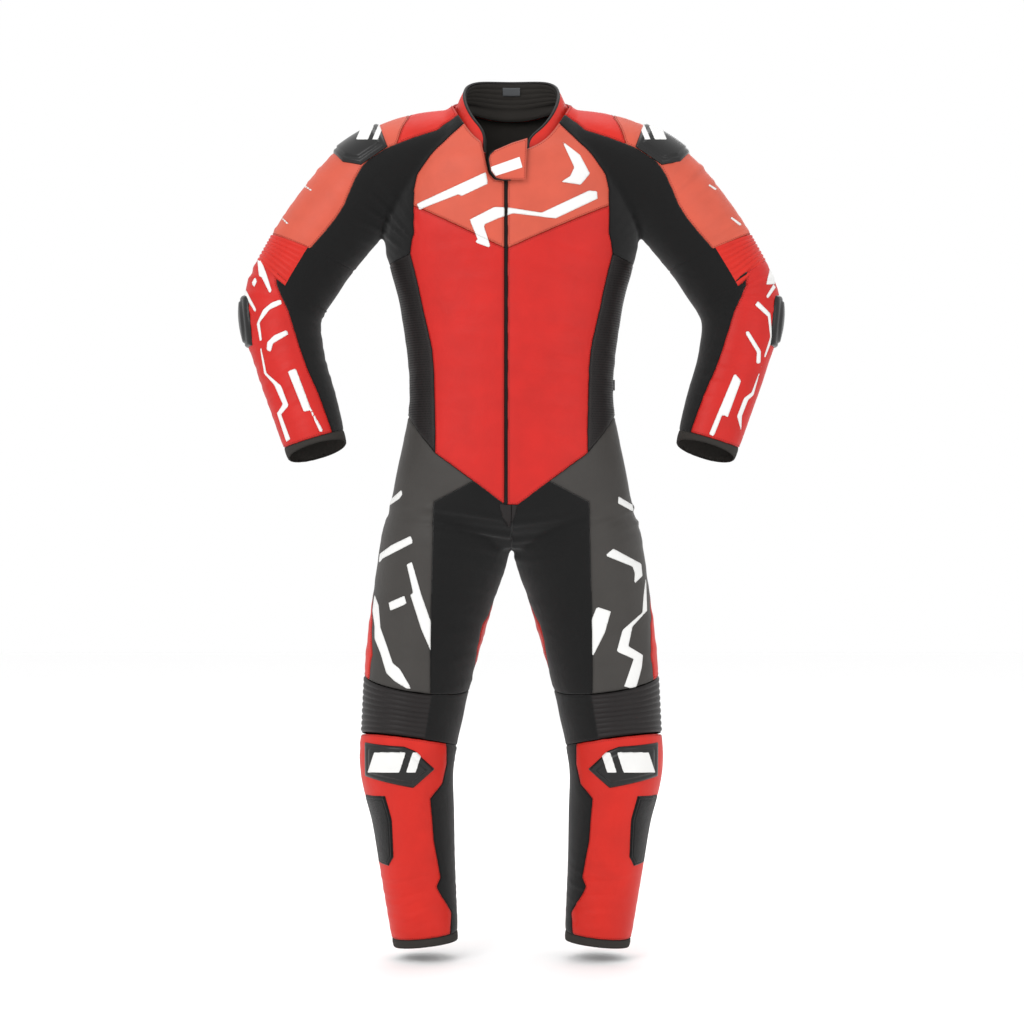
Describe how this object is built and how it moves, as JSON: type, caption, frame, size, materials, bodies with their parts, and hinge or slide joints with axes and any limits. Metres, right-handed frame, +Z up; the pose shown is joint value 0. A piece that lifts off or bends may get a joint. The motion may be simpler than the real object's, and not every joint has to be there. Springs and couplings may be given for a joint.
{
  "type": "one-piece leather racing suit",
  "caption": "One-piece leather motorcycle racing suit with stretch inserts, accordion joints, hard cups, armour, zips and articulated elbows and knees.",
  "frame": {"origin": "the nape, at the middle of the back of the collar's base, where a hanger or a neck block carries the suit", "axes": "+Z up, the wearer faces -Y, the wearer's left is +X"},
  "size_m": [0.9258, 0.2847, 1.4958],
  "materials": {
    "red_leather": "semi-matte",
    "coral_leather": "semi-matte",
    "crimson_leather": "semi-matte",
    "grey_leather": "semi-matte",
    "perforated_leather": "semi-matte",
    "stretch_fabric": "matte",
    "accordion_leather": "semi-matte",
    "dark_lining": "matte",
    "cup_plastic": "satin",
    "loop_fabric": "matte",
    "armour_foam": "satin",
    "zip_metal": "satin"
  },
  "bodies": {
    "suit_body": {"back_panel": "red_leather", "lumbar_stretch": "accordion_leather", "seat_panel": "red_leather", "crotch_stretch": "stretch_fabric", "chest_panel_right": "coral_leather", "front_panel_right": "crimson_leather", "side_panel_right": "perforated_leather", "shoulder_yoke_right": "red_leather", "underarm_stretch_right": "stretch_fabric", "upper_sleeve_right": "coral_leather", "elbow_stretch_right": "accordion_leather", "thigh_panel_right": "grey_leather", "knee_stretch_right": "accordion_leather", "chest_panel_left": "coral_leather", "front_panel_left": "crimson_leather", "side_panel_left": "perforated_leather", "shoulder_yoke_left": "red_leather", "underarm_stretch_left": "stretch_fabric", "upper_sleeve_left": "coral_leather", "elbow_stretch_left": "accordion_leather", "thigh_panel_left": "grey_leather", "knee_stretch_left": "accordion_leather", "collar": "red_leather", "collar_lining": "dark_lining", "shoulder_cup_right": "cup_plastic", "shoulder_cup_left": "cup_plastic", "shoulder_armour_right": "armour_foam", "shoulder_armour_left": "armour_foam", "back_protector": "armour_foam", "front_zip": "dark_lining", "aero_hump": "red_leather"},
    "front_zip_slider": {"front_zip_slider": "zip_metal"},
    "front_zip_pull": {"front_zip_pull": "zip_metal"},
    "neck_flap": {"neck_flap": "coral_leather"},
    "forearm_right": {"forearm_panel_right": "crimson_leather", "forearm_stretch_right": "stretch_fabric", "sleeve_cuff_right": "dark_lining", "elbow_cup_right": "cup_plastic", "elbow_armour_right": "armour_foam"},
    "shin_right": {"shin_panel_right": "red_leather", "calf_stretch_right": "stretch_fabric", "leg_cuff_right": "dark_lining", "knee_cup_right": "cup_plastic", "knee_armour_right": "armour_foam", "slider_patch_right": "loop_fabric"},
    "cuff_zip_slider_right": {"cuff_zip_slider_right": "zip_metal"},
    "calf_zip_slider_right": {"calf_zip_slider_right": "zip_metal"},
    "forearm_left": {"forearm_panel_left": "crimson_leather", "forearm_stretch_left": "stretch_fabric", "sleeve_cuff_left": "dark_lining", "elbow_cup_left": "cup_plastic", "elbow_armour_left": "armour_foam"},
    "shin_left": {"shin_panel_left": "red_leather", "calf_stretch_left": "stretch_fabric", "leg_cuff_left": "dark_lining", "knee_cup_left": "cup_plastic", "knee_armour_left": "armour_foam", "slider_patch_left": "loop_fabric"},
    "cuff_zip_slider_left": {"cuff_zip_slider_left": "zip_metal"},
    "calf_zip_slider_left": {"calf_zip_slider_left": "zip_metal"}
  },
  "joints": [
    {"name": "elbow_right", "type": "hinge", "parent": "suit_body", "child": "forearm_right", "pos_m": [-0.36209, -0.06618, -0.28267], "axis": [-0.2627, -0.9495, 0.1716], "range_deg": [-20, 24], "deforming": ["elbow_stretch_right"]},
    {"name": "knee_right", "type": "hinge", "parent": "suit_body", "child": "shin_right", "pos_m": [-0.16886, -0.08487, -1.03816], "axis": [1, 0, 0], "range_deg": [0, 55], "deforming": ["knee_stretch_right"]},
    {"name": "cuff_zip_right", "type": "slide", "parent": "forearm_right", "child": "cuff_zip_slider_right", "axis": [-0.2768, 0.287, 0.917], "range_m": [0, 0.127]},
    {"name": "calf_zip_right", "type": "slide", "parent": "shin_right", "child": "calf_zip_slider_right", "axis": [-0.0899, 0.103, 0.9906], "range_m": [0, 0.082]},
    {"name": "elbow_left", "type": "hinge", "parent": "suit_body", "child": "forearm_left", "pos_m": [0.36209, -0.06618, -0.28267], "axis": [-0.2627, 0.9495, -0.1716], "range_deg": [-20, 24], "deforming": ["elbow_stretch_left"]},
    {"name": "knee_left", "type": "hinge", "parent": "suit_body", "child": "shin_left", "pos_m": [0.16886, -0.08487, -1.03816], "axis": [1, 0, 0], "range_deg": [0, 55], "deforming": ["knee_stretch_left"]},
    {"name": "cuff_zip_left", "type": "slide", "parent": "forearm_left", "child": "cuff_zip_slider_left", "axis": [0.2768, 0.287, 0.917], "range_m": [0, 0.127]},
    {"name": "calf_zip_left", "type": "slide", "parent": "shin_left", "child": "calf_zip_slider_left", "axis": [0.0899, 0.103, 0.9906], "range_m": [0, 0.082]},
    {"name": "front_zip_slide", "type": "slide", "parent": "suit_body", "child": "front_zip_slider", "axis": [0, 0, -1], "range_m": [0, 0.528]},
    {"name": "front_zip_pull_swing", "type": "hinge", "parent": "front_zip_slider", "child": "front_zip_pull", "pos_m": [-0.009, -0.201, -0.12442], "axis": [-1, 0, 0], "range_deg": [0, 6]},
    {"name": "neck_flap_hinge", "type": "hinge", "parent": "suit_body", "child": "neck_flap", "pos_m": [0.024, -0.2077, -0.1444], "axis": [0, 0, 1], "range_deg": [0, 120]}
  ]
}
